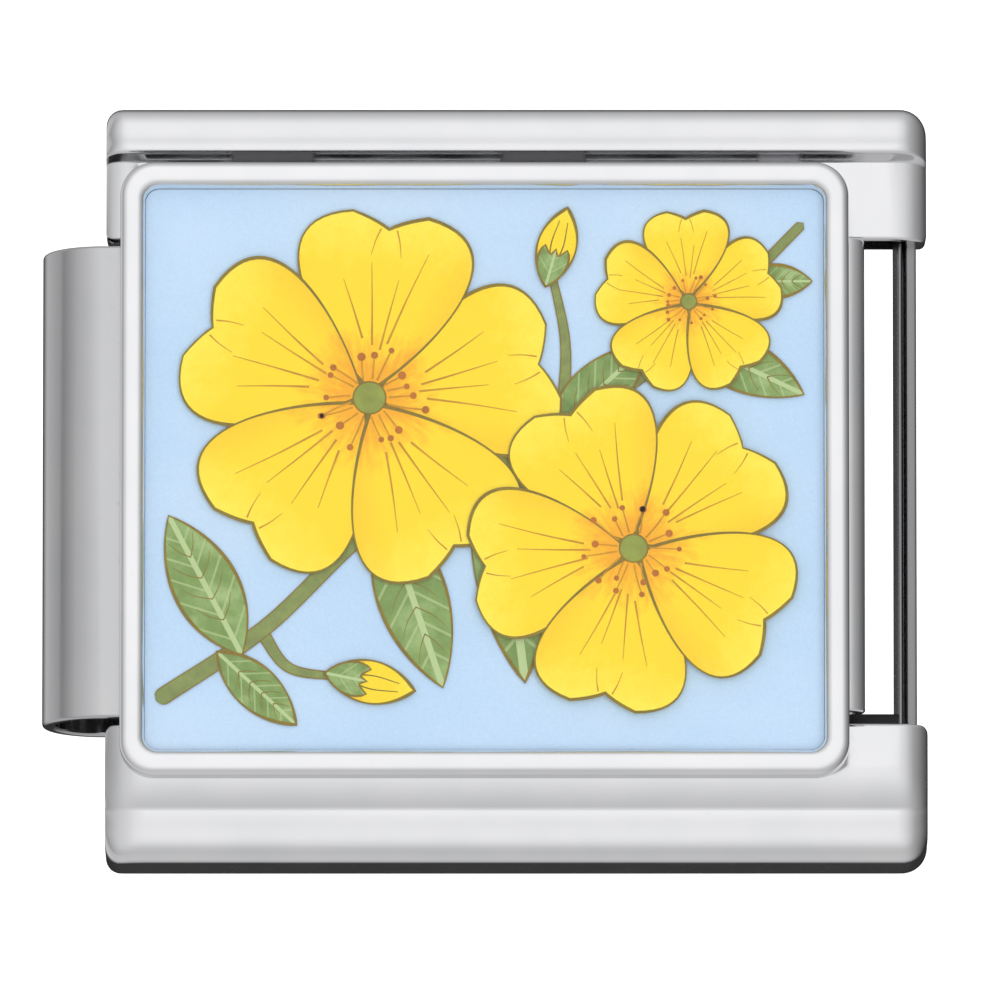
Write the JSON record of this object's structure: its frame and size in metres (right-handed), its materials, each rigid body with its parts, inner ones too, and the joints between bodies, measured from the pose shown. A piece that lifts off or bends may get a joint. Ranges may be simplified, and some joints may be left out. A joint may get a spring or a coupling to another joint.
{
  "type": "charm bracelet link",
  "caption": "Spring-loaded stainless-steel bracelet link: framed picture face under a clear cover, side wings, a hook bar at one end and a hinged sleeve at the other.",
  "frame": {"origin": "under the middle of the link, on the surface that its lower sleeve lies on", "axes": "+X along the bracelet from the sleeve end to the hook-bar end, +Y across the band, +Z out of the picture face"},
  "size_m": [0.0104, 0.009, 0.0024],
  "materials": {
    "polished_steel": "polished stainless steel with fine wear",
    "spring_steel": "satin",
    "sky_print": "light blue printed film",
    "leaf_print": "green print",
    "petal_print": "yellow print",
    "clear_resin": "clear, glossy"
  },
  "bodies": {
    "face": {"face_tray": "polished_steel", "picture_plate": "sky_print", "printed_branch": "leaf_print", "printed_bud_lower": "petal_print", "printed_bud_upper": "petal_print", "printed_blossom_large": "petal_print", "printed_blossom_middle": "petal_print", "printed_blossom_small": "petal_print", "clear_cover": "clear_resin", "upper_sleeve": "polished_steel", "upper_wave_spring": "spring_steel", "hook_frame": "polished_steel"},
    "clips": {"connector_clip_far": "spring_steel", "connector_clip_near": "spring_steel"},
    "jaw": {"lower_sleeve": "polished_steel", "lower_wave_spring": "spring_steel"}
  },
  "joints": [
    {"name": "stretch", "type": "slide", "parent": "face", "child": "clips", "axis": [-1, 0, 0], "range_m": [0, 0.0015], "stiffness_N_per_m": 400, "springref_m": -0.0005, "deforming": ["upper_wave_spring"]},
    {"name": "sleeve_hinge", "type": "hinge", "parent": "clips", "child": "jaw", "pos_m": [0.00347, 0, 0.00072], "axis": [0, -1, 0], "range_deg": [0, 60], "stiffness_Nm_per_rad": 0.0003, "springref_deg": -17.19}
  ]
}
